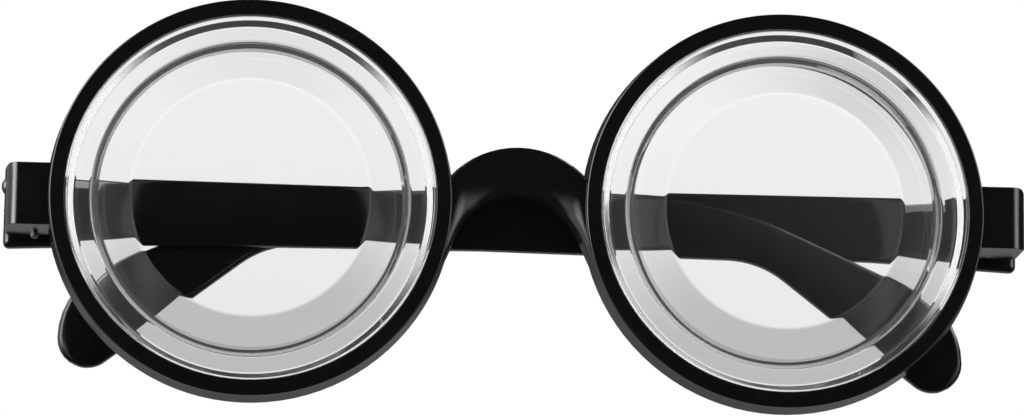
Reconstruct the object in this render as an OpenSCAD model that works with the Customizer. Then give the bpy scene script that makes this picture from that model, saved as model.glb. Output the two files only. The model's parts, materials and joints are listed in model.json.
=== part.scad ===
// Costume glasses with round rims and stepped clear lenses, shown with both temples folded.
// X runs across the front, Y from the front to the back, Z up. Left and right are as seen
// from the front. Every shape below is drawn from the middle of the rim fronts at the height
// of the lens centres, and place() then moves it so that the origin is under the middle.

/* [Rims] */
// Distance between the two lens centres
lens_spacing = 73.5; // [71:0.5:80]
// Radius of the opening in front of each lens
rim_open_r = 25.4; // [24:0.1:26]
// Width of the rim's front band
rim_band = 2.1; // [1.6:0.1:2.4]
// How much the rim grows in radius from front to back
rim_flare = 0.45; // [0.3:0.05:0.9]
// Depth of the rim from front to back
rim_depth = 4.4; // [4:0.1:5.5]
// Rounding of the rim's front outer edge
rim_round = 0.6; // [0.4:0.1:1.4]
// Thickness of the front lip that the lens rests against
lip_t = 1.3; // [1:0.1:1.6]
// How far the lens seat is cut outwards behind the lip
seat_step = 0.8; // [0.5:0.1:1]

/* [Snap nibs that hold each lens] */
// Number of nibs round each rim
nib_count = 4; // [3:1:6]
// Width of one nib along the rim
nib_w = 3.2; // [2:0.2:5]
// How far a nib reaches inwards from the seat
nib_reach = 0.6; // [0.4:0.1:0.8]
// Thickness of a nib from front to back
nib_t = 0.8; // [0.5:0.1:1]

/* [Lenses] */
// Radius of the flat window in the middle of the lens
disc_r = 16.4; // [14:0.1:18]
// Thickness of the window
disc_t = 1.4; // [1:0.1:2]
// How far the lens front sits behind the rim's front
disc_set = 0.25; // [0.1:0.05:0.8]
// Outer radius of the dished ring round the window
dish_r = 20.3; // [19:0.1:21]
// Slope of the dished ring's back
dish_slope = 36; // [20:1:40]
// Width of the flat crest behind the dished ring
crest_w = 0.4; // [0.3:0.1:1]
// Width of the step in the lens front
step_w = 0.8; // [0.6:0.1:1.2]
// Inner and outer radius of the small ring near the rim
ring_in_r = 22.2; // [21.8:0.1:22.8]
ring_out_r = 23.9; // [23.2:0.1:24.6]
// Slope of the small ring's back
ring_slope = 35; // [20:1:40]
// Thickness of the lens at the small ring's inner edge
ring_t = 1.1; // [0.8:0.1:1.6]
// Thickness of the lens flange that sits in the rim
flange_t = 1.4; // [1:0.1:1.6]
// Play between the lens edge and its seat
lens_play = 0.1; // [0.05:0.05:0.3]

/* [Bridge] */
// Height of the bridge's top above the lens centres
bridge_top = 7.95; // [7:0.05:9.5]
// Height at which the bridge's top meets the rims
bridge_foot = 3.7; // [2:0.1:5]
// Height of the nose saddle above the lens centres
saddle_top = 1.8; // [0.5:0.1:3]
// How far the top of each nose wing stands off the rim beside it
wing_off = 0.8; // [0.5:0.05:1.2]
// How much lower the saddle's back edge is than its front edge
saddle_fall = 0.5; // [0:0.1:1.2]
// Length of the straight nose wing below the saddle on each side
wing_l = 9.5; // [6:0.1:9.6]
// How far the bridge's front sits behind the rim fronts
bridge_set = 0.8; // [0.3:0.1:1.5]
// Depth of the bridge from its front to its back
bridge_depth = 4.8; // [4.5:0.1:7]
// Part of the bridge's front that falls back towards the saddle, from its lower edge up
fall_part = 0.8; // [0.4:0.05:0.85]
// How far back that part falls
fall_back = 2; // [1:0.1:2.4]
// Rounding along the bridge's front top edge, and along its back edges
bridge_top_round = 0.5; // [0.3:0.1:0.9]
bridge_round = 0.9; // [0.4:0.1:1.2]

/* [End pieces] */
// How far an end piece stands out beyond the rim's side
end_l = 5.6; // [5.5:0.05:8]
// Height of an end piece
end_h = 8.6; // [8:0.1:10]
// How far the middle of an end piece is below the lens centres
end_drop = 0.2; // [0:0.05:0.6]
// How far an end piece sits behind the rim fronts
end_set = 1; // [0.5:0.1:2]
// Rounding of an end piece's outer front corner
end_round = 1.9; // [0.8:0.1:2]
// Rounding of an end piece's outer top edge and of its outer bottom edge
end_top_round = 1.1; // [0.5:0.1:1.6]
end_low_round = 0.3; // [0.2:0.1:0.8]
// Radius of the moulding bump on the left end piece
bump_r = 1.1; // [0.8:0.1:1.2]
// How far that bump stands out
bump_out = 0.5; // [0.3:0.05:0.6]
// Distance of the bump behind the end piece's front
bump_back = 1; // [0.8:0.1:1.1]
// Height of the bump above the lens centres
bump_up = 1.25; // [0:0.05:2]

/* [Hinges] */
// Distance from an end piece's outer side to the hinge axis
hinge_inset = 4.1; // [3.6:0.05:4.5]
// Distance of the hinge axis behind the rim fronts
hinge_back = 7.6; // [7.6:0.1:9]
// Depth of the end piece behind the hinge axis
lug_back = 1.5; // [1:0.1:1.6]
// Radius of a hinge pin
pin_r = 0.55; // [0.4:0.05:0.7]
// How far a pin stands out below its end piece
pin_proud = 0.75; // [0:0.05:1]
// Rounding of the end piece's outer back corner
lug_round = 0.5; // [0.2:0.1:1]
// Thickness left over the blind top of a pin hole
pin_cover = 0.75; // [0.5:0.05:1.2]
// Squeeze of the end piece on the pin, on the radius
pin_squeeze = 0.01; // [0.005:0.005:0.02]
// Play between the pin and the temple's knuckle, on the radius
pin_play = 0.05; // [0.02:0.01:0.09]
// Radius of the temple's knuckle
knuckle_r = 1.7; // [1.6:0.1:1.7]
// Half of the width of the web between knuckle and temple
web_half = 1.5; // [1:0.1:1.7]
// Height of the knuckle
knuckle_h = 3.9; // [3:0.1:4.5]
// Gap above and below the knuckle
knuckle_gap = 0.15; // [0.1:0.05:0.3]
// Gap round the knuckle in its slot
slot_gap = 0.3; // [0.25:0.05:0.5]

/* [Temples] */
// Gap between an end piece's side and an open temple
side_gap = 0.65; // [0.5:0.05:1]
// Thickness of a temple
temple_t = 2.2; // [1.8:0.05:2.3]
// Rounding along a temple's edges
temple_round = 0.7; // [0.3:0.05:0.9]
// How much a temple's faces rise towards the middle of its height
crown = 0.08; // [0.04:0.02:0.2]
// Gap between the two folded temples
stack_gap = 0.25; // [0.15:0.05:0.4]
// Length of a temple's square end in front of its hinge
heel_l = 4.5; // [4.2:0.05:4.5]
// Rounding of the square end's corners
heel_round = 0.8; // [0.4:0.1:1.2]
// Height of a temple's top edge at its hinge, above the lens centres
top_heel = 4.5; // [3.8:0.1:5]
// Height of the bottom edge at the hinge, below the lens centres
low_heel = 5.7; // [5:0.1:6.4]
// Distance from the hinge to where the bottom edge ends its first slope
neck_at = 16; // [10:1:20]
// Height of that place below the lens centres
neck_low = 4.8; // [4.7:0.1:5.4]
// Height of the top edge where it starts to bend
top_bend = 4; // [3.4:0.1:4.4]
// Distance from the hinge to where the top edge starts to bend
bend_at = 84; // [78:0.5:86]
// Radius of the top edge's bend
bend_r = 50; // [46:1:65]
// Angle of the ear piece's top edge below level
ear_angle = 24; // [22:0.5:27]
// Distance from the hinge to the narrowest place of the bottom edge
waist_at = 62; // [50:1:75]
// Height of that place below the lens centres
waist_low = 4.25; // [4:0.05:4.8]
// Distance from the hinge to the corner of the bottom edge
elbow_at = 100.5; // [99:0.1:103]
// Height of that corner below the lens centres
elbow_low = 4.7; // [4.6:0.1:5.4]
// Radius of the bend at that corner
elbow_r = 13; // [10:1:20]
// Distance from the hinge to the end of the ear piece
temple_l = 129; // [126:0.1:131]
// Angle that the left temple hangs below level and the right one lies above it
hang = 0.36; // [0:0.02:0.6]
// Radius of the ear piece's outer curve
tip_curve_r = 11; // [9:0.5:13]
// Radius of the ear piece's round end
tip_r = 4.1; // [3.6:0.1:4.4]

/* [Hidden] */
$fn = 96;
// Steps along a curve, and round an edge
arc_steps = 8;
ring_steps = 3;
// Turn of the nose saddle on each side of the middle, and the part of it under the top edge
saddle_turn = 66;
arch_turn = 38;
// Where on an ellipse the bridge's falling front meets the saddle
fall_from = 205;
// Where the temple's lower and upper edges end on the round tip
tip_low_end = -75;
tip_top_end = -55;
// Overlap where two shapes of one piece run into each other
weld = 0.3;

rim_front_r = rim_open_r + rim_band;
rim_back_r = rim_front_r + rim_flare;
// The middle of the rim's wall, where the bridge and the end pieces run into it
rim_wall_r = (rim_open_r + seat_step + rim_front_r) / 2;
seat_r = rim_open_r + seat_step;
lens_r = seat_r - lens_play;
nib_front = lip_t + flange_t;

lens_x = lens_spacing / 2;
end_x = lens_x + rim_back_r + end_l;
hinge_x = end_x - hinge_inset;
end_low = end_drop + end_h / 2;
lug_end = hinge_back + lug_back;
slot_h = knuckle_h + 2 * knuckle_gap;
slot_r = knuckle_r + slot_gap;

// Where an end piece starts, inside the rim's wall
end_in_x = lens_x + rim_wall_r;
// Distance from the hinge axis to a temple's inner face
temple_in = hinge_inset + side_gap;
// Folded, the left temple leans this far towards the lenses and the right one away from them
stack_tilt = atan((temple_t + stack_gap) / (2 * hinge_x));
// This leaves the whole's middle a little to the right of the mid plane
all_shift = (temple_in + temple_t / 2) * sin(stack_tilt);

function arc(centre, r, from, to, steps = arc_steps) =
    [for (i = [0 : steps]) let (a = from + (to - from) * i / steps) centre + r * [cos(a), sin(a)]];
function unit(v) = v / norm(v);
function left_of(v) = [-v.y, v.x];
function heading(v) = atan2(v.y, v.x);
function flip(points) = [for (p = points) [-p.x, p.y]];
function tail(points) = [for (i = [1 : len(points) - 1]) points[i]];

// Moves every point of a counterclockwise outline inwards by d
function inset(points, d) = let (n = len(points)) [
    for (i = [0 : n - 1]) let (
        a = left_of(unit(points[i] - points[(i + n - 1) % n])),
        b = left_of(unit(points[(i + 1) % n] - points[i])),
        m = unit(a + b)
    ) points[i] + m * d / (m * a)
];

// Joins equal rings of points into one closed body
module skin(rings) {
    n = len(rings[0]);
    last = (len(rings) - 1) * n;
    polyhedron(
        points = [for (ring = rings) for (p = ring) p],
        faces = concat(
            [[for (i = [n - 1 : -1 : 0]) i]],
            [for (k = [0 : len(rings) - 2]) for (i = [0 : n - 1]) let (j = (i + 1) % n)
                [k * n + i, k * n + j, (k + 1) * n + j, (k + 1) * n + i]],
            [[for (i = [0 : n - 1]) last + i]]
        )
    );
}

module place() translate([-all_shift, -all_depth / 2, rim_back_r]) children();
module at_lens(side) translate([side * lens_x, 0, 0]) rotate([-90, 0, 0]) children();
module at_hinge(side) translate([side * hinge_x, hinge_back, -end_drop]) children();

// Rims

module rim_section() {
    back_edge = rim_round / 3;
    polygon(concat(
        [[seat_r, rim_depth], [seat_r, lip_t], [rim_open_r, lip_t], [rim_open_r, 0]],
        arc([rim_front_r - rim_round, rim_round], rim_round, -90, 0),
        arc([rim_back_r - back_edge, rim_depth - back_edge], back_edge, 0, 90)
    ));
}

module lens_nib() translate([seat_r - nib_reach, -nib_w / 2, nib_front])
    cube([nib_reach + weld, nib_w, nib_t]);

module rim(side) at_lens(side) {
    rotate_extrude() rim_section();
    for (i = [0 : nib_count - 1]) rotate([0, 0, 360 * (i + 0.5) / nib_count]) lens_nib();
}

// Bridge with the nose saddle and its two wings

foot_x = lens_x - sqrt(pow(rim_front_r, 2) - pow(bridge_foot, 2));
top_r = let (rise = bridge_top - bridge_foot) (foot_x * foot_x + rise * rise) / (2 * rise);
top_middle = [0, bridge_top - top_r];
top_turn = asin(foot_x / top_r);
// The saddle's radius leaves wing_off between the top of each wing and its rim
saddle_r = let (c = 1 - cos(saddle_turn), b = lens_x * sin(saddle_turn) + saddle_top * c,
                m = pow(lens_x, 2) + pow(saddle_top, 2) - pow(rim_back_r + wing_off, 2))
    (b - sqrt(b * b - 2 * c * m)) / (2 * c);
saddle_middle = [0, saddle_top - saddle_r];
wing_start = saddle_middle + saddle_r * [sin(saddle_turn), cos(saddle_turn)];
wing_end = wing_start + wing_l * [cos(saddle_turn), -sin(saddle_turn)];
bridge_back = bridge_set + bridge_depth;
half_steps = arc_steps / 2;

// From the middle to the right: the top edge follows its arc, then runs down inside the rim
top_edge = concat(
    arc(top_middle, top_r, 90, 90 - top_turn),
    tail(arc([lens_x, 0], rim_wall_r, 180 - asin(bridge_foot / rim_wall_r),
        180 - asin(wing_end.y / rim_wall_r)))
);
// The lower edge follows the saddle, then runs down the wing
low_edge = concat(
    arc(saddle_middle, saddle_r, 90, 90 - arch_turn),
    tail(arc(saddle_middle, saddle_r, 90 - arch_turn, 90 - saddle_turn, half_steps)),
    [for (i = [1 : half_steps]) wing_start + (wing_end - wing_start) * i / half_steps]
);
edge_last = len(low_edge) - 1;

// How far back the bridge reaches at one point of the edges: the wings run out at the rims
function back_at(i) = let (t = max(0, (i - arc_steps) / (edge_last - arc_steps)))
    bridge_back - (bridge_back - rim_depth + weld) * t * t;

// The front's falling part, from the lower edge up to where the front is flat
function falling(span) = [for (k = [0 : arc_steps]) let (a = fall_from + (270 - fall_from) * k / arc_steps)
    [fall_part * span * (1 - cos(a) / cos(fall_from)), min(fall_back, span / 2) * (1 + sin(a))]];

function bridge_ring(i) = let (
    low = low_edge[i],
    span = norm(top_edge[i] - low),
    up = unit(top_edge[i] - low),
    depth = back_at(i) - bridge_set,
    r = min(bridge_round, span / 3),
    t = min(bridge_top_round, span * (1 - fall_part) / 2),
    outline = concat(
        falling(span), arc([span - t, t], t, 270, 360, ring_steps),
        arc([span - r, depth - r], r, 0, 90, ring_steps), arc([r, depth - r], r, 90, 180, ring_steps)
    )
) [for (q = outline) let (p = low + up * q.x, fall = saddle_fall * (1 - q.x / span) * q.y / depth)
    [p.x, bridge_set + q.y, p.y - fall]];

module bridge() {
    right = [for (i = [0 : edge_last]) bridge_ring(i)];
    left = [for (i = [edge_last : -1 : 1]) [for (p = right[i]) [-p.x, p.y, p.z]]];
    skin(concat(left, right));
}

// End pieces with the hinge lugs

module end_plan(side) {
    polygon(flip_if(side, concat(
        [[end_in_x, end_set]],
        arc([end_x - end_round, end_set + end_round], end_round, -90, 0),
        arc([end_x - lug_round, lug_end - lug_round], lug_round, 0, 90),
        [[end_in_x, lug_end]]
    )));
}

module end_face(side) {
    polygon(flip_if(side, concat(
        [[end_in_x, -end_low]],
        arc([end_x - end_low_round, end_low_round - end_low], end_low_round, -90, 0),
        arc([end_x - end_top_round, end_h - end_low - end_top_round], end_top_round, 0, 90),
        [[end_in_x, end_h - end_low]]
    )));
}

function flip_if(side, points) = side > 0 ? points : flip(points);

// The room in which the temple's knuckle and web swing, drawn for the right side
module slot_plan() {
    circle(slot_r);
    translate([-slot_r, 0]) square([slot_r + hinge_inset + weld, lug_back + weld]);
    translate([0, -slot_r]) square([hinge_inset + weld, slot_r + lug_back + weld]);
}

module end_piece(side) {
    difference() {
        intersection() {
            translate([0, 0, -end_low]) linear_extrude(end_h) end_plan(side);
            translate([0, lug_end, 0]) rotate([90, 0, 0]) linear_extrude(lug_end) end_face(side);
        }
        at_hinge(side) {
            mirror([side > 0 ? 0 : 1, 0, 0]) translate([0, 0, -slot_h / 2])
                linear_extrude(slot_h) slot_plan();
            translate([0, 0, -end_h / 2 - weld]) cylinder(h = end_h - pin_cover + weld,
                r = pin_r - pin_squeeze);
        }
    }
}

module bump() translate([bump_r - bump_out - end_x, end_set + bump_back, bump_up])
    sphere(bump_r);

module front_frame() place() color("#101012") {
    rim(-1);
    rim(1);
    bridge();
    end_piece(-1);
    end_piece(1);
    bump();
}

// Lenses

module lens_section() {
    step_r = dish_r + crest_w;
    dish_back = disc_set + disc_t + (dish_r - disc_r) * tan(dish_slope);
    ring_front = lip_t + ring_t;
    ring_back = ring_front + (ring_out_r - ring_in_r) * tan(ring_slope);
    polygon([
        [0, disc_set], [step_r, disc_set], [step_r + step_w, lip_t], [lens_r, lip_t],
        [lens_r, nib_front], [ring_out_r + crest_w, nib_front], [ring_out_r, ring_back],
        [ring_in_r, ring_front], [ring_in_r - crest_w, ring_front], [step_r, dish_back],
        [dish_r, dish_back], [disc_r, disc_set + disc_t], [0, disc_set + disc_t]
    ]);
}

module lens(side) place() color("#e8eef0") at_lens(side) rotate_extrude() lens_section();
module left_lens() lens(-1);
module right_lens() lens(1);

// Hinge pins

module pin(side) place() color("#b8bcc0") at_hinge(side) {
    tip = pin_r / 2;
    low = end_h / 2 + pin_proud;
    translate([0, 0, tip - low]) cylinder(h = low - tip + end_h / 2 - pin_cover, r = pin_r);
    translate([0, 0, -low]) cylinder(h = tip, r1 = pin_r - tip, r2 = pin_r);
}

module left_hinge_pin() pin(-1);
module right_hinge_pin() pin(1);

// Temples, drawn with the length along X and the thickness along Y

elbow = [elbow_at, -elbow_low];
bend_end = [bend_at + bend_r * sin(ear_angle), top_bend - bend_r * (1 - cos(ear_angle))];
curve_x = temple_l - tip_curve_r;
curve_z = bend_end.y - (curve_x + tip_curve_r * sin(ear_angle) - bend_end.x) * tan(ear_angle)
    - tip_curve_r * cos(ear_angle);
tip_middle = [temple_l - tip_r, curve_z];
fall_in = heading(elbow - [waist_at, -waist_low]);
fall_out = heading(tip_middle - elbow) - asin(tip_r / norm(tip_middle - elbow));
elbow_start = elbow
    - elbow_r * tan((fall_in - fall_out) / 2) * [cos(fall_in), sin(fall_in)];
elbow_middle = elbow_start - elbow_r * [-sin(fall_in), cos(fall_in)];

// The lower and the upper edge, each from the square end to the tip, in equal numbers of points
temple_low = concat(
    arc([heel_round - heel_l, heel_round - low_heel], heel_round, 180, 270, half_steps),
    [[neck_at, -neck_low], [waist_at, -waist_low]],
    arc(elbow_middle, elbow_r, fall_in + 90, fall_out + 90),
    arc(tip_middle, tip_r, fall_out - 90, tip_low_end, arc_steps + half_steps - 1)
);
temple_top = concat(
    arc([heel_round - heel_l, top_heel - heel_round], heel_round, 180, 90, half_steps),
    [top_at(neck_at), top_at(waist_at)],
    arc([bend_at, top_bend - bend_r], bend_r, 90, 90 - ear_angle),
    arc([curve_x, curve_z], tip_curve_r, 90 - ear_angle, 0, arc_steps - 1),
    tail(arc(tip_middle, tip_r, 0, tip_top_end, half_steps))
);
temple_n = len(temple_low);
// The folded part's depth: the right temple's tip reaches furthest back
tip_line = (temple_low[temple_n - 1] + temple_top[temple_n - 1]) / 2;
all_depth = hinge_back + (temple_in + temple_t) * cos(stack_tilt) + tip_line.x * sin(stack_tilt);
temple_outline = concat(temple_low, [for (i = [temple_n - 1 : -1 : 0]) temple_top[i]]);

function top_at(x) = [x, top_heel + (top_bend - top_heel) * (x - heel_round + heel_l)
    / (bend_at - heel_round + heel_l)];

// The bar: outlines that shrink towards both faces round its edges, and a slightly crowned
// face that runs up to a line along the middle
module temple_bar() {
    r = temple_round;
    n = 2 * temple_n;
    turns = [for (i = [0 : ring_steps]) 90 * i / ring_steps];
    rows = concat(
        [for (a = turns) [r * (1 - sin(a)), crown + (r - crown) * (1 - cos(a))]],
        [for (i = [ring_steps : -1 : 0]) let (a = turns[i])
            [r * (1 - sin(a)), temple_t - crown - (r - crown) * (1 - cos(a))]]
    );
    last = (len(rows) - 1) * n;
    spine = last + n;
    skin_points = [for (row = rows) for (p = inset(temple_outline, row[0]))
        [p.x, temple_in + row[1], p.y]];
    spine_points = [for (y = [0, temple_t]) for (i = [0 : temple_n - 1])
        let (p = (temple_low[i] + temple_top[i]) / 2) [p.x, temple_in + y, p.y]];
    polyhedron(
        points = concat(skin_points, spine_points),
        faces = concat(
            [for (k = [0 : len(rows) - 2]) for (i = [0 : n - 1]) let (j = (i + 1) % n)
                each split([k * n + i, k * n + j, (k + 1) * n + j, (k + 1) * n + i])],
            crowned(0, spine, n),
            [for (f = crowned(last, spine + temple_n, n)) [f[2], f[1], f[0]]]
        )
    );
}

function split(q) = [[q[0], q[1], q[2]], [q[0], q[2], q[3]]];

// The triangles between an outline that starts at point number from and its middle line
function crowned(from, middle, n) = concat(
    [[from, middle, from + n - 1]],
    [for (i = [0 : temple_n - 2]) each concat(
        split([from + i, middle + i, middle + i + 1, from + i + 1]),
        split([middle + i, from + n - 1 - i, from + n - 2 - i, middle + i + 1])
    )],
    [[from + temple_n - 1, from + temple_n, middle + temple_n - 1]]
);

module temple(side) place() color("#101012")
    mirror([side > 0 ? 1 : 0, 0, 0]) translate([-hinge_x, hinge_back, 0]) rotate([0, 0, side * stack_tilt]) {
        rotate([0, -side * hang, 0]) temple_bar();
        translate([0, 0, -end_drop]) difference() {
            union() {
                cylinder(h = knuckle_h, r = knuckle_r, center = true);
                translate([-web_half, 0, -knuckle_h / 2])
                    cube([2 * web_half, temple_in + weld, knuckle_h]);
            }
            cylinder(h = knuckle_h + 2 * weld, r = pin_r + pin_play, center = true);
        }
    }

module left_temple() temple(-1);
module right_temple() temple(1);

front_frame();
left_lens();
right_lens();
left_hinge_pin();
right_hinge_pin();
left_temple();
right_temple();
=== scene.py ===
import json
import math

import bmesh
import bpy
from mathutils import Matrix, Vector

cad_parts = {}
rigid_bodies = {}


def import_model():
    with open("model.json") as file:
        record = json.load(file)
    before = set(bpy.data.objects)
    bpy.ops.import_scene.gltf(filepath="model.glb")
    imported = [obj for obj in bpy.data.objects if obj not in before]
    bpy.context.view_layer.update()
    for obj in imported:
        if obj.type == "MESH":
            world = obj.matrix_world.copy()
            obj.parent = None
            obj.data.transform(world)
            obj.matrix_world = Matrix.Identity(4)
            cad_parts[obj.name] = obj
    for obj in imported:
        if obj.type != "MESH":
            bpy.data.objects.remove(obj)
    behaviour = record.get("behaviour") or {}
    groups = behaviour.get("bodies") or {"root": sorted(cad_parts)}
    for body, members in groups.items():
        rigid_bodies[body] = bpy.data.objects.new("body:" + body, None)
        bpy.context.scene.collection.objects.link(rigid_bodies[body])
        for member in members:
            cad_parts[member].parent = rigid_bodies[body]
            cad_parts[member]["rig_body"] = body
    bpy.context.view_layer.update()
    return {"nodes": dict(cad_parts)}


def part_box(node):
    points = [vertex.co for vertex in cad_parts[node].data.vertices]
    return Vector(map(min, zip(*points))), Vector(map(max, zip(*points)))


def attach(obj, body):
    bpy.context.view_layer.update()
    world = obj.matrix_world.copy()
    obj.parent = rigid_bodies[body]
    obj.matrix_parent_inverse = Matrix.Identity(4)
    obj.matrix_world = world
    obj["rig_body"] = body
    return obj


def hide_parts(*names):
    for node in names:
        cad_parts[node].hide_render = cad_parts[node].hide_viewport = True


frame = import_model()
nodes = frame["nodes"]

MM = 0.001
SIDES = ("left", "right")


def rim_middle(side):
    """The middle of a rim's front, straight in front of its lens."""
    low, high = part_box(side + "_lens")
    middle = (Vector(low) + Vector(high)) / 2
    middle.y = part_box("front_frame")[0][1]
    return middle


RIM_MIDDLES = {side: rim_middle(side) for side in SIDES}
# The middle between the two rim fronts, at the height of the lens centres
FRONT_MIDDLE = (RIM_MIDDLES["left"] + RIM_MIDDLES["right"]) / 2


def at(x, y, z):
    """A point given in millimetres from the middle between the two rim fronts."""
    return FRONT_MIDDLE + Vector((x, y, z)) * MM


# Lens sizes in millimetres: a radius is from the lens's axis, a depth from the rim's front

LENS_R = (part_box("left_lens")[1][0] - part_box("left_lens")[0][0]) / 2 / MM
# How deep the disc's front is set, and the thickness of the disc, of the rim's lip in front of the flange,
# of the second ring at its foot, and of the flange
DISC_SET, DISC_T, LIP_T, RING_T, FLANGE_T = 0.25, 1.4, 1.3, 1.1, 1.4
# The lens's front fills the rim's opening up to here
BOSS_R = 25.25
# The back rises in two rings of one slope: inner radius, outer radius, width of the crest, height of its
# ridge, and fillet at the ring's foot
RINGS = [(16.5, 20.85, 0.8, 0.5, 1.0), (21.85, 24.0, 0.2, 0, 0.2)]
RING_SLOPE, LAST_SLOPE = math.radians(31.3), math.radians(52)
BOSS_FILLET, FLANGE_FILLET, CRISP_FILLET = 0.2, 0.1, 0.05
# Haze in the rings: the radii where it begins and where it is full, and how much of it there is
HAZE_FROM, HAZE_FULL, HAZE = 16.2, 16.9, 0.02
# Painted shade over the step between the two rings, a dark matt band: how much, and how far that fades to
# each side of its edges
STEP_SHADE, STEP_SHADE_EDGE = 0.3, 0.1

# Rim sizes in millimetres: radius of the opening, of the front's outer edge and of the back's, and depth

RIM_OPEN_R, RIM_OUT_R, RIM_BACK_R, RIM_DEPTH = 25.4, 27.5, 27.95, 4.4
# Crisp faces over the rims' fronts: depth, how far they stand out, and the fillets of their edges
FACE_DEPTH, FACE_PROUD = 0.7, 0.01
FACE_OUTER_FILLET, FACE_INNER_FILLET, FACE_BACK_FILLET = 0.2, 0.08, 0.02

# End piece sizes in millimetres: half the width over both, how far their fronts are set back, corner radius

END_X, END_FRONT, END_ROUND = 70.3, 1.0, 1.9
# The solid's bump on the left end piece's side: middle and radius
SOLID_BUMP, SOLID_BUMP_R = (-69.7, 2.0, 1.25), 1.1
# The bump shows only past the corner, so it is flatter than on the solid and set further back, just clear of
# the opened temple's heel: radius, half its depth, how far it stands out, and its place behind the rims'
# fronts and above the lens centres
BUMP_R, BUMP_HALF_DEPTH, BUMP_OUT, BUMP_BACK, BUMP_UP = 1.5, 0.5, 0.44, 2.5, 0.9
# The solids of both pins stand out this far below the end pieces
PIN_PROUD = 0.75

# How finely shapes are made

FILLET_STEPS = 4
TURN_STEPS = 192
BUMP_STEPS = 16
# A fillet takes at most this share of a side
FILLET_SHARE = 0.4
# A point beside each end of a fillet keeps the flat side flat: its distance as a share of the fillet, and the
# most in millimetres
BESIDE_SHARE, BESIDE_MOST = 0.15, 0.05
# Points this near to each other are one: in metres, for the CAD shapes and for turned ones
MERGE, WELD = 2e-6, 1e-7
# Edges up to the first angle are smooth, and faces within the second are one flat face
SMOOTH_UP_TO, FLAT_UP_TO = math.radians(28), math.radians(0.2)


# Nodes and objects

def add(tree, kind, **values):
    """A new node with some of its inputs or settings set."""
    made = tree.nodes.new(kind)
    for key, value in values.items():
        if key in made.inputs:
            made.inputs[key].default_value = value
        else:
            setattr(made, key, value)
    return made


def feed(tree, socket, value):
    """Set a socket to a number, or link it to another node's output."""
    if isinstance(value, (int, float)):
        socket.default_value = value
    else:
        tree.links.new(value, socket)


def maths(tree, operation, a, b=0.0):
    made = add(tree, "ShaderNodeMath", operation=operation)
    feed(tree, made.inputs[0], a)
    feed(tree, made.inputs[1], b)
    return made.outputs[0]


def ranged(tree, value, given, wanted, kind="SMOOTHSTEP"):
    """The value taken from the given range to the wanted one, and held at its ends."""
    made = add(tree, "ShaderNodeMapRange", interpolation_type=kind,
               **{"From Min": given[0], "From Max": given[1], "To Min": wanted[0], "To Max": wanted[1]})
    tree.links.new(value, made.inputs["Value"])
    return made.outputs["Result"]


def mixed(tree, share, first, second):
    """The first shader, with this share of the second."""
    mix = add(tree, "ShaderNodeMixShader")
    tree.links.new(share, mix.inputs["Fac"])
    tree.links.new(first, mix.inputs[1])
    tree.links.new(second, mix.inputs[2])
    return mix.outputs["Shader"]


def new_material(name):
    material = bpy.data.materials.new(name)
    material.use_nodes = True
    tree = material.node_tree
    return material, tree, tree.nodes["Principled BSDF"]


def new_object(name, data):
    made = bpy.data.objects.new(name, data)
    bpy.context.collection.objects.link(made)
    return made


# Materials

def black_plastic():
    """Glossy black moulded plastic with a faint orange peel, rubbed spots and softened edges."""
    material, tree, shader = new_material("black_plastic")
    link = tree.links.new
    place = add(tree, "ShaderNodeTexCoord").outputs["Object"]
    peel = add(tree, "ShaderNodeTexNoise", Scale=700.0, Detail=1.0)
    grain = add(tree, "ShaderNodeTexNoise", Scale=4200.0, Detail=2.0)
    wear = add(tree, "ShaderNodeTexNoise", Scale=240.0, Detail=4.0, Roughness=0.55)
    for noise in (peel, grain, wear):
        link(place, noise.inputs["Vector"])
    rough = ranged(tree, wear.outputs["Fac"], (0.35, 0.7), (0.1, 0.14), kind="LINEAR")
    link(rough, shader.inputs["Roughness"])
    tone = add(tree, "ShaderNodeMix", data_type="RGBA")
    tone.inputs["A"].default_value = (0.0022, 0.0022, 0.0024, 1)
    tone.inputs["B"].default_value = (0.0045, 0.0045, 0.0048, 1)
    link(wear.outputs["Fac"], tone.inputs["Factor"])
    link(tone.outputs["Result"], shader.inputs["Base Color"])
    soft_edge = add(tree, "ShaderNodeBevel", samples=4, Radius=0.00012)
    soft = add(tree, "ShaderNodeBump", Strength=0.1, Distance=0.00002)
    fine = add(tree, "ShaderNodeBump", Strength=0.08, Distance=0.000004)
    link(soft_edge.outputs["Normal"], soft.inputs["Normal"])
    link(peel.outputs["Fac"], soft.inputs["Height"])
    link(grain.outputs["Fac"], fine.inputs["Height"])
    link(soft.outputs["Normal"], fine.inputs["Normal"])
    link(fine.outputs["Normal"], shader.inputs["Normal"])
    return material


def from_lens_axis(tree, place):
    """The distance of a place from the nearer lens's axis."""
    spot = add(tree, "ShaderNodeSeparateXYZ")
    tree.links.new(place, spot.inputs["Vector"])
    half_spacing = (RIM_MIDDLES["right"].x - RIM_MIDDLES["left"].x) / 2
    from_middle = maths(tree, "ABSOLUTE", maths(tree, "SUBTRACT", spot.outputs["X"], FRONT_MIDDLE.x))
    across = maths(tree, "SUBTRACT", from_middle, half_spacing)
    up = maths(tree, "SUBTRACT", spot.outputs["Z"], FRONT_MIDDLE.z)
    squares = [maths(tree, "MULTIPLY", length, length) for length in (across, up)]
    return maths(tree, "SQRT", maths(tree, "ADD", *squares))


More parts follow.
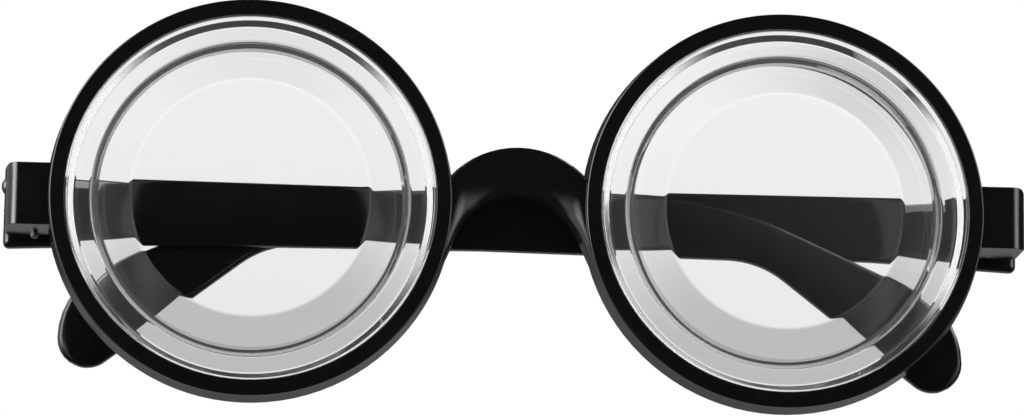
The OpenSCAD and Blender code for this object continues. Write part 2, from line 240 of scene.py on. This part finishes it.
def clear_plastic():
    """Clear plastic with slight flow marks, a faint haze in the rings and painted shade, a dark matt band,
    over the step between them.
    """
    material, tree, shader = new_material("clear_plastic")
    link = tree.links.new
    place = add(tree, "ShaderNodeTexCoord").outputs["Object"]
    flow = add(tree, "ShaderNodeTexNoise", Scale=90.0, Detail=1.0)
    link(place, flow.inputs["Vector"])
    bump = add(tree, "ShaderNodeBump", Strength=0.03, Distance=0.00005)
    link(flow.outputs["Fac"], bump.inputs["Height"])
    link(bump.outputs["Normal"], shader.inputs["Normal"])
    shader.inputs["Base Color"].default_value = (0.985, 0.985, 0.985, 1)
    shader.inputs["Roughness"].default_value = 0.0
    shader.inputs["IOR"].default_value = 1.49
    shader.inputs["Transmission Weight"].default_value = 1.0

    radius = from_lens_axis(tree, place)
    hazy = ranged(tree, radius, (HAZE_FROM * MM, HAZE_FULL * MM), (0, HAZE))
    haze = add(tree, "ShaderNodeBsdfDiffuse", Color=(0.9, 0.9, 0.9, 1))
    surface = mixed(tree, hazy, shader.outputs["BSDF"], haze.outputs["BSDF"])

    # Painted shade: a dark matt band over the step between the rings stands in for the dark line that bent
    # light makes there
    step_from, step_to = RINGS[0][1], RINGS[1][0]
    step_middle, step_half = (step_from + step_to) / 2, (step_to - step_from) / 2
    from_step = maths(tree, "ABSOLUTE", maths(tree, "SUBTRACT", radius, step_middle * MM))
    step_shade_range = ((step_half + STEP_SHADE_EDGE) * MM, (step_half - STEP_SHADE_EDGE) * MM)
    step_shade = ranged(tree, from_step, step_shade_range, (0, STEP_SHADE))
    shade = add(tree, "ShaderNodeBsdfDiffuse", Color=(0.1, 0.1, 0.1, 1))
    surface = mixed(tree, step_shade, surface, shade.outputs["BSDF"])
    link(surface, tree.nodes["Material Output"].inputs["Surface"])
    return material


def pin_steel():
    """Drawn steel wire, a little dull."""
    material, tree, shader = new_material("pin_steel")
    link = tree.links.new
    place = add(tree, "ShaderNodeTexCoord").outputs["Object"]
    stretch = add(tree, "ShaderNodeMapping", Scale=(6000.0, 6000.0, 300.0))
    link(place, stretch.inputs["Vector"])
    lines = add(tree, "ShaderNodeTexNoise", Scale=1.0, Detail=2.0)
    link(stretch.outputs["Vector"], lines.inputs["Vector"])
    rough = ranged(tree, lines.outputs["Fac"], (0, 1), (0.25, 0.45), kind="LINEAR")
    link(rough, shader.inputs["Roughness"])
    shader.inputs["Base Color"].default_value = (0.32, 0.32, 0.33, 1)
    shader.inputs["Metallic"].default_value = 1.0
    return material


finishes = {"frame_plastic": black_plastic(), "lens_clear": clear_plastic(), "pin_steel": pin_steel()}


def take_place(piece, node):
    """The piece stands for a CAD node: it rides on the node's body, and the node is hidden."""
    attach(piece, nodes[node]["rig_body"])
    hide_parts(node)


# Moulded pieces: the CAD shape with smooth faces and its sharp edges kept

def smooth_corner(shape):
    """Lay the solid's bump flat on the end piece's rounded corner."""
    middle = at(*SOLID_BUMP)
    corner = at(END_ROUND - END_X, END_FRONT + END_ROUND, 0)
    for vert in shape.verts:
        if (vert.co - middle).length > SOLID_BUMP_R * MM + MERGE:
            continue
        if vert.co.y > corner.y:
            vert.co.x = max(vert.co.x, at(-END_X, 0, 0).x)
            continue
        out = Vector((vert.co.x - corner.x, vert.co.y - corner.y))
        if out.length > END_ROUND * MM:
            out = out.normalized() * END_ROUND * MM
            vert.co.x, vert.co.y = corner.x + out.x, corner.y + out.y


def drive_flush(shape):
    """Drive a pin in until its lower end is level with the end piece's underside."""
    underside = min(vert.co.z for vert in shape.verts) + PIN_PROUD * MM
    for vert in shape.verts:
        vert.co.z = max(vert.co.z, underside)


def moulded(node, name, slot, refit=None):
    """A piece with a CAD node's shape, which refit may change before its faces are made smooth."""
    mesh = nodes[node].data.copy()
    mesh.name = name
    shape = bmesh.new()
    shape.from_mesh(mesh)
    bmesh.ops.remove_doubles(shape, verts=shape.verts, dist=MERGE)
    if refit:
        refit(shape)
    bmesh.ops.dissolve_limit(shape, angle_limit=FLAT_UP_TO, verts=shape.verts, edges=shape.edges)
    for face in shape.faces:
        face.smooth = True
    for edge in shape.edges:
        edge.smooth = edge.calc_face_angle(0) < SMOOTH_UP_TO
    shape.to_mesh(mesh)
    shape.free()
    mesh.materials.clear()
    mesh.materials.append(finishes[slot])
    piece = new_object(name, mesh)
    normals = piece.modifiers.new("even_shading", "WEIGHTED_NORMAL")
    normals.keep_sharp = True
    take_place(piece, node)


moulded("front_frame", "moulded_front", "frame_plastic", smooth_corner)
moulded("left_temple", "left_temple_moulding", "frame_plastic")
moulded("right_temple", "right_temple_moulding", "frame_plastic")
moulded("left_hinge_pin", "left_pin_wire", "pin_steel")
# No pin end shows under the right end piece
moulded("right_hinge_pin", "right_pin_wire", "pin_steel", drive_flush)


# Turned pieces: a section turned about an axis along Y

def filleted(corners):
    """The section's points: each corner with a fillet becomes an arc with a point beside each end."""
    points = []
    for i, (r, y, fillet) in enumerate(corners):
        here = Vector((r, y))
        if fillet == 0:
            points.append(here)
            continue
        last = Vector(corners[i - 1][:2])
        following = Vector(corners[(i + 1) % len(corners)][:2])
        before, after = (last - here).normalized(), (following - here).normalized()
        half = before.angle(after) / 2
        back = min(fillet / math.tan(half), FILLET_SHARE * (last - here).length,
                   FILLET_SHARE * (following - here).length)
        fillet = back * math.tan(half)
        middle = here + (before + after).normalized() * (fillet / math.sin(half))
        start, end = here + before * back, here + after * back
        beside = min(BESIDE_SHARE * back, BESIDE_MOST)
        points.append(start + before * beside)
        sweep = math.pi - 2 * half
        turn = 1 if before.cross(after) < 0 else -1
        for k in range(FILLET_STEPS + 1):
            angle = turn * sweep * k / FILLET_STEPS
            points.append(middle + Matrix.Rotation(angle, 2) @ (start - middle))
        points.append(end + after * beside)
    return points


def lathe_tree():
    """Geometry nodes that turn the mesh's points (radius, depth) about the Y axis."""
    tree = bpy.data.node_groups.new("lathe", "GeometryNodeTree")
    interface = tree.interface
    inputs = {"Geometry": "Geometry", "Steps": "Int", "Middle": "Vector", "Material": "Material"}
    for name, kind in inputs.items():
        interface.new_socket(name, in_out="INPUT", socket_type="NodeSocket" + kind)
    interface.new_socket("Geometry", in_out="OUTPUT", socket_type="NodeSocketGeometry")
    link = tree.links.new

    # A grid with a column for each step and a row for each point of the section
    given = add(tree, "NodeGroupInput").outputs
    count = add(tree, "GeometryNodeAttributeDomainSize", component="MESH")
    link(given["Geometry"], count.inputs["Geometry"])
    points = count.outputs["Point Count"]
    grid = add(tree, "GeometryNodeMeshGrid")
    link(maths(tree, "ADD", given["Steps"], 1), grid.inputs["Vertices X"])
    link(points, grid.inputs["Vertices Y"])
    spot = add(tree, "ShaderNodeSeparateXYZ")
    link(add(tree, "GeometryNodeInputPosition").outputs[0], spot.inputs[0])
    along, up = [maths(tree, "ADD", spot.outputs[axis], 0.5) for axis in "XY"]
    angle = maths(tree, "MULTIPLY", along, 2 * math.pi)
    row = maths(tree, "MULTIPLY", up, maths(tree, "SUBTRACT", points, 1))

    # Each row takes its point of the section, and each column its turn
    sample = add(tree, "GeometryNodeSampleIndex", data_type="FLOAT_VECTOR", domain="POINT")
    link(given["Geometry"], sample.inputs["Geometry"])
    link(add(tree, "GeometryNodeInputPosition").outputs[0], sample.inputs["Value"])
    link(maths(tree, "ROUND", row), sample.inputs["Index"])
    section = add(tree, "ShaderNodeSeparateXYZ")
    link(sample.outputs["Value"], section.inputs[0])
    turned = add(tree, "ShaderNodeCombineXYZ")
    link(maths(tree, "MULTIPLY", section.outputs["X"], maths(tree, "COSINE", angle)), turned.inputs["X"])
    link(section.outputs["Y"], turned.inputs["Y"])
    link(maths(tree, "MULTIPLY", section.outputs["X"], maths(tree, "SINE", angle)), turned.inputs["Z"])
    moved = add(tree, "ShaderNodeVectorMath", operation="ADD")
    link(turned.outputs[0], moved.inputs[0])
    link(given["Middle"], moved.inputs[1])
    place = add(tree, "GeometryNodeSetPosition")
    link(grid.outputs["Mesh"], place.inputs["Geometry"])
    link(moved.outputs[0], place.inputs["Position"])

    merge = add(tree, "GeometryNodeMergeByDistance", Distance=WELD)
    link(place.outputs[0], merge.inputs["Geometry"])
    smooth = add(tree, "GeometryNodeSetShadeSmooth")
    link(merge.outputs[0], smooth.inputs["Geometry"])
    real = add(tree, "GeometryNodeRealizeInstances")
    link(smooth.outputs[0], real.inputs["Geometry"])
    paint = add(tree, "GeometryNodeSetMaterial")
    link(real.outputs[0], paint.inputs["Geometry"])
    link(given["Material"], paint.inputs["Material"])
    link(paint.outputs[0], add(tree, "NodeGroupOutput").inputs[0])
    return tree


def make_plain(piece, name):
    """Make the piece's evaluated shape its own mesh, without its modifiers and with faces outwards."""
    bpy.context.view_layer.update()
    mesh = bpy.data.meshes.new_from_object(piece.evaluated_get(bpy.context.evaluated_depsgraph_get()))
    mesh.name = name
    piece.modifiers.clear()
    piece.data = mesh
    shape = bmesh.new()
    shape.from_mesh(mesh)
    bmesh.ops.remove_doubles(shape, verts=shape.verts, dist=WELD)
    bmesh.ops.recalc_face_normals(shape, faces=shape.faces)
    shape.to_mesh(mesh)
    shape.free()


lathe_nodes = lathe_tree()


def turned_piece(node, name, slot, section, middle, steps=TURN_STEPS):
    """A piece turned about a line along Y through the middle, from its section in millimetres."""
    mesh = bpy.data.meshes.new(name)
    mesh.from_pydata([(r * MM, y * MM, 0) for r, y in section], [], [])
    piece = new_object(name, mesh)
    lathe = piece.modifiers.new("lathe", "NODES")
    lathe.node_group = lathe_nodes
    items = lathe_nodes.interface.items_tree
    sockets = {item.name: item.identifier for item in items if item.in_out == "INPUT"}
    lathe[sockets["Steps"]] = steps
    lathe[sockets["Middle"]] = middle
    lathe[sockets["Material"]] = finishes[slot]
    make_plain(piece, name)
    take_place(piece, node)


def lens_corners():
    """The section's corners from the front's middle round to the back's middle, each with its fillet."""
    flange_back = LIP_T + FLANGE_T
    front = [(0, DISC_SET, 0), (BOSS_R, DISC_SET, BOSS_FILLET), (BOSS_R, LIP_T, CRISP_FILLET),
             (LENS_R, LIP_T, FLANGE_FILLET), (LENS_R, flange_back, FLANGE_FILLET)]
    back = [(0, DISC_SET + DISC_T, 0)]
    for low, (inner, outer, crest, ridge, foot) in zip((DISC_SET + DISC_T, LIP_T + RING_T), RINGS):
        high = low + (outer - inner) * math.tan(RING_SLOPE)
        back.append((inner, low, foot))
        back.append((outer, high, CRISP_FILLET))
        if ridge:
            back.append((outer + crest / 2, high + ridge, CRISP_FILLET))
        back.append((outer + crest, high, CRISP_FILLET))
    crest_end, crest_high = back[-1][:2]
    back.append((crest_end + (crest_high - flange_back) / math.tan(LAST_SLOPE), flange_back, CRISP_FILLET))
    return front + back[::-1]


def rim_face_corners():
    """The corners of the ring over a rim's front, whose outer side follows the rim's flared wall."""
    flank = RIM_OUT_R + FACE_PROUD + (RIM_BACK_R - RIM_OUT_R) * FACE_DEPTH / RIM_DEPTH
    return [(RIM_OPEN_R, FACE_DEPTH, FACE_BACK_FILLET), (RIM_OPEN_R, -FACE_PROUD, FACE_INNER_FILLET),
            (RIM_OUT_R + FACE_PROUD, -FACE_PROUD, FACE_OUTER_FILLET), (flank, FACE_DEPTH, FACE_BACK_FILLET)]


lens_section = filleted(lens_corners())
for side in SIDES:
    turned_piece(side + "_lens", side + "_stepped_lens", "lens_clear", lens_section, RIM_MIDDLES[side])

face_section = filleted(rim_face_corners())
face_section.append(face_section[0])
for side in SIDES:
    turned_piece("front_frame", side + "_rim_face", "frame_plastic", face_section, RIM_MIDDLES[side])

bump_turns = [math.pi * k / BUMP_STEPS for k in range(BUMP_STEPS + 1)]
bump_section = [(BUMP_R * math.sin(turn), -BUMP_HALF_DEPTH * math.cos(turn)) for turn in bump_turns]
turned_piece("front_frame", "left_moulding_bump", "frame_plastic", bump_section,
             at(BUMP_R - BUMP_OUT - END_X, BUMP_BACK, BUMP_UP), 2 * BUMP_STEPS)


# Camera: below the glasses and a little to their left, at the photograph's angle, places in millimetres

CAMERA_PLACE, CAMERA_AIM, CAMERA_ROLL = (-50.435, -685.53, -133.48), (-1.015, 0, -0.79), math.radians(0.678)
CAMERA_LENS, CAMERA_SENSOR = 179.69, 36.0

camera_data = bpy.data.cameras.new("camera")
camera_data.sensor_width = CAMERA_SENSOR
camera_data.lens = CAMERA_LENS
camera_data.clip_start = 0.01
camera = new_object("camera", camera_data)
camera.location = at(*CAMERA_PLACE)
aim = at(*CAMERA_AIM) - camera.location
camera_turn = aim.to_track_quat("-Z", "Y").to_matrix() @ Matrix.Rotation(CAMERA_ROLL, 3, "Z")
camera.rotation_euler = camera_turn.to_euler()
bpy.context.scene.camera = camera


# Floor and light, sizes in metres

FLOOR_HALF = 3.0
LIGHT_PLACE, LIGHT_AIM, LIGHT_SIZE, LIGHT_POWER = (-0.1, 0.1, 0.7), (0, 0, 0.03), 0.6, 5


def floor_material():
    """Pale matt floor that shows only from above, and not in reflections or through the lenses."""
    material, tree, shader = new_material("floor")
    shader.inputs["Base Color"].default_value = (0.85, 0.85, 0.85, 1)
    shader.inputs["Roughness"].default_value = 0.9
    path = add(tree, "ShaderNodeLightPath").outputs
    unseen = add(tree, "ShaderNodeNewGeometry").outputs["Backfacing"]
    for ray in ("Is Glossy Ray", "Is Transmission Ray"):
        unseen = maths(tree, "MAXIMUM", unseen, path[ray])
    gone = add(tree, "ShaderNodeBsdfTransparent")
    surface = mixed(tree, unseen, shader.outputs["BSDF"], gone.outputs["BSDF"])
    tree.links.new(surface, tree.nodes["Material Output"].inputs["Surface"])
    return material


floor_mesh = bpy.data.meshes.new("floor")
floor_corners = [(x * FLOOR_HALF, y * FLOOR_HALF, 0) for x, y in ((-1, -1), (1, -1), (1, 1), (-1, 1))]
floor_mesh.from_pydata(floor_corners, [], [(0, 1, 2, 3)])
floor_mesh.materials.append(floor_material())
floor = new_object("floor", floor_mesh)

overhead_data = bpy.data.lights.new("overhead", "AREA")
overhead_data.size, overhead_data.energy = LIGHT_SIZE, LIGHT_POWER
overhead = new_object("overhead", overhead_data)
overhead.location = LIGHT_PLACE
overhead.rotation_euler = (Vector(LIGHT_AIM) - Vector(LIGHT_PLACE)).to_track_quat("-Z", "Y").to_euler()
# It gives the shadow and the level. Seen in the plastic or in the lenses' steps, it would be a burnt streak
overhead.visible_transmission = overhead.visible_glossy = False


# World: what the plastic mirrors and what shows through the lenses

# Soft boxes that the black plastic mirrors: turns to the right of straight ahead, heights, strength, and
# widths of the soft edges sideways and upwards, with all angles in degrees
BOXES = {
    "left": ((-50, -24), (4, 40), 13.0, (14, 7)),
    "left, low": ((-50, -24), (-25, 4), 1.2, (14, 7)),
    "far left": ((-125, -50), (-20, 45), 1.4, (12, 10)),
    "far left, high": ((-125, -60), (28, 62), 2.5, (10, 8)),
    "right": ((30, 60), (2, 35), 5.0, (14, 8)),
    "right, low": ((30, 60), (-28, 2), 1.2, (14, 8)),
    "far right, high": ((55, 125), (24, 62), 5.0, (10, 8)),
}
# What the lenses' outer rings throw back to the front at the sides, given in the same way
SIDE_PANELS = {
    "left": ((-65, -14), (-16, 50), 1.0, (8, 8)),
    "right": ((10, 65), (-16, 50), 1.0, (8, 8)),
}
# How bright the surroundings are by height, as the sine of the angle above level: a range of heights and the
# brightness at its two ends. Straight through the lenses it is white, greyer low down, with a little added
# near the ground and a last factor high up
THROUGH = ((-0.09, 0.24), (0.55, 0.94))
NEAR_GROUND = ((-0.5, -0.25), (0.3, 0))
HIGH_FACTOR = ((0.2, 0.5), (1.0, 1.08))
# The back's factor for light that was mirrored on its way through a lens: it is dark low down
MIRRORED_FACTOR = ((-0.3, -0.13), (0.04, 1.0))
# The back as the black plastic mirrors it: a dim glow from below
GLOW = ((-0.1, 0.1), (0.28, 0.05))
# The front is dark where no box is, and passes into the back over this much to each side
DARK_FRONT, FRONT_EDGE = 0.02, 0.15
# Brightness of all else
PLAIN = 1.0

world = bpy.data.worlds.new("world")
bpy.context.scene.world = world
world.use_nodes = True
sky = world.node_tree
way = add(sky, "ShaderNodeSeparateXYZ")
sky.links.new(add(sky, "ShaderNodeTexCoord").outputs["Generated"], way.inputs["Vector"])
path = add(sky, "ShaderNodeLightPath").outputs


def in_degrees(angle):
    return maths(sky, "MULTIPLY", angle, 180 / math.pi)


ahead = maths(sky, "MULTIPLY", way.outputs["Y"], -1.0)
turned_right = in_degrees(maths(sky, "ARCTAN2", way.outputs["X"], ahead))
risen = in_degrees(maths(sky, "ARCSINE", way.outputs["Z"]))


def window(value, low, high, edge):
    """1 between low and high, with soft edges."""
    return maths(sky, "MULTIPLY", ranged(sky, value, (low - edge, low + edge), (0, 1)),
                 ranged(sky, value, (high - edge, high + edge), (1, 0)))


def panels(given):
    """The light of soft boxes or panels together."""
    total = 0.0
    for turns, heights, strength, (turn_edge, height_edge) in given.values():
        across, up = window(turned_right, *turns, turn_edge), window(risen, *heights, height_edge)
        light = maths(sky, "MULTIPLY", maths(sky, "MULTIPLY", across, up), strength)
        total = maths(sky, "ADD", total, light)
    return total


def by_height(brightness):
    return ranged(sky, way.outputs["Z"], *brightness)


def switch(fac, a, b):
    """a where fac is 0, b where it is 1."""
    made = add(sky, "ShaderNodeMix", data_type="FLOAT")
    for key, value in (("Factor", fac), ("A", a), ("B", b)):
        feed(sky, made.inputs[key], value)
    return made.outputs["Result"]


is_behind = ranged(sky, way.outputs["Y"], (-FRONT_EDGE, FRONT_EDGE), (0, 1))
clear_view = maths(sky, "ADD", by_height(THROUGH), by_height(NEAR_GROUND))
clear_view = maths(sky, "MULTIPLY", clear_view, by_height(HIGH_FACTOR))
# Light mirrored inside a lens, or on the plastic behind it, comes from a dark front with its side panels and
# from a back that is dark low down
was_mirrored = maths(sky, "GREATER_THAN", path["Glossy Depth"], 0.5)
mirrored_back = maths(sky, "MULTIPLY", clear_view, by_height(MIRRORED_FACTOR))
mirrored = maths(sky, "ADD", switch(is_behind, DARK_FRONT, mirrored_back), panels(SIDE_PANELS))
reflected = maths(sky, "ADD", switch(is_behind, DARK_FRONT, by_height(GLOW)), panels(BOXES))
shown = switch(path["Is Glossy Ray"], PLAIN, reflected)
shown = switch(path["Is Transmission Ray"], shown, switch(was_mirrored, clear_view, mirrored))
shown = switch(path["Is Camera Ray"], shown, PLAIN)
sky.links.new(shown, sky.nodes["Background"].inputs["Strength"])
sky.nodes["Background"].inputs["Color"].default_value = (1, 1, 1, 1)

bpy.context.scene.view_settings.view_transform = "Standard"
